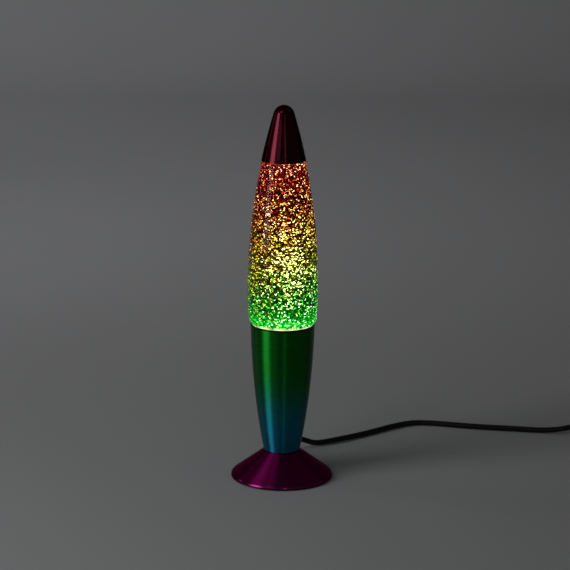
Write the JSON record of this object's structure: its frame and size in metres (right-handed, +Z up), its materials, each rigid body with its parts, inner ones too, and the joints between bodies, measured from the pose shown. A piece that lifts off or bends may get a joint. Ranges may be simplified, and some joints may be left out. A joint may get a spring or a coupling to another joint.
{
  "type": "glitter lamp",
  "caption": "Table lamp with a spun conical foot and cup, a lit glass bottle of liquid and glitter, a bullet cap and a corded switch and plug.",
  "frame": {"origin": "centre of the foot's underside, on the surface the lamp stands on", "axes": "+Z up along the lamp's axis, +Y towards the back where the cord leaves the foot, +X towards the switch, coil and plug"},
  "size_m": [0.5504, 0.2358, 0.395],
  "materials": {
    "foot_metal": "glossy magenta lacquer on spun aluminium",
    "cup_metal": "satin lacquer on spun aluminium, green at the rim to blue at the foot",
    "cap_lacquer": "glossy dark maroon lacquer",
    "clear_glass": "clear blown glass",
    "glitter_liquid": "clear dyed liquid with glitter, lit from below",
    "crown_metal": "lacquered tinplate",
    "liner_plastic": "soft white",
    "steel": "zinc plated",
    "plate_metal": "satin black",
    "pad_foam": "matt black foam",
    "cord_pvc": "matt black",
    "black_plastic": "satin black",
    "holder_plastic": "matt black",
    "white_ceramic": "unglazed white",
    "brass": "bright",
    "nickel": "nickel plated brass",
    "copper_core": "insulated brown",
    "copper_core_blue": "insulated blue",
    "bulb_metal": "bright",
    "bulb_envelope": "mirrored inside to its widest point, frosted face",
    "black_glass": "opaque black",
    "filament_metal": "glowing"
  },
  "bodies": {
    "base": {"foot_shell": "foot_metal", "base_pad": "pad_foam", "bottom_plate": "plate_metal", "plate_screws": "steel", "foot_bracket": "steel", "nipple": "steel", "nipple_nut": "steel", "lock_washer": "steel", "cup_washer": "steel", "cup_shell": "cup_metal", "cord_bushing": "black_plastic", "cord_inner": "cord_pvc", "conductor_live": "copper_core", "conductor_neutral": "copper_core_blue", "holder_base": "holder_plastic", "holder_core": "white_ceramic", "holder_sleeve": "holder_plastic", "screw_shell": "brass", "centre_contact": "brass", "terminal_screws": "brass", "switch_bottom": "black_plastic", "switch_top": "black_plastic", "rocker_pin": "steel", "switch_contacts": "brass", "switch_screws": "steel", "plug_body": "black_plastic", "plug_pins": "nickel", "plug_boot": "black_plastic", "cord_lead": "cord_pvc", "cord_coil": "cord_pvc", "cord_link": "cord_pvc", "cord_tail": "cord_pvc"},
    "globe": {"bottle": "clear_glass", "liquid": "glitter_liquid", "closure_liner": "liner_plastic", "crown_closure": "crown_metal"},
    "cap": {"cap_shell": "cap_lacquer"},
    "bulb_tip": {"bulb_contact": "nickel", "bulb_insulator": "black_glass"},
    "bulb": {"bulb_cap": "bulb_metal", "bulb_glass": "bulb_envelope", "bulb_stem": "clear_glass", "filament": "filament_metal"},
    "rocker": {"switch_rocker": "black_plastic"}
  },
  "joints": [
    {"name": "globe_lift", "type": "slide", "parent": "base", "child": "globe", "axis": [0, 0, 1], "range_m": [0, 0.06]},
    {"name": "cap_lift", "type": "slide", "parent": "globe", "child": "cap", "axis": [0, 0, 1], "range_m": [0, 0.07]},
    {"name": "bulb_rise", "type": "slide", "parent": "base", "child": "bulb_tip", "axis": [0, 0, 1], "range_m": [0, 0.01411]},
    {"name": "bulb_turn", "type": "hinge", "parent": "bulb_tip", "child": "bulb", "pos_m": [0, 0, 0.0565], "axis": [0, 0, 1], "range_deg": [0, 1800]},
    {"name": "switch_tip", "type": "hinge", "parent": "base", "child": "rocker", "pos_m": [0.375, 0.151, 0.0145], "axis": [0, 1, 0], "range_deg": [0, 24]}
  ],
  "couplings": [
    {"joint": "bulb_rise", "follows": "bulb_turn", "m_per_rad": 0.00044882}
  ]
}
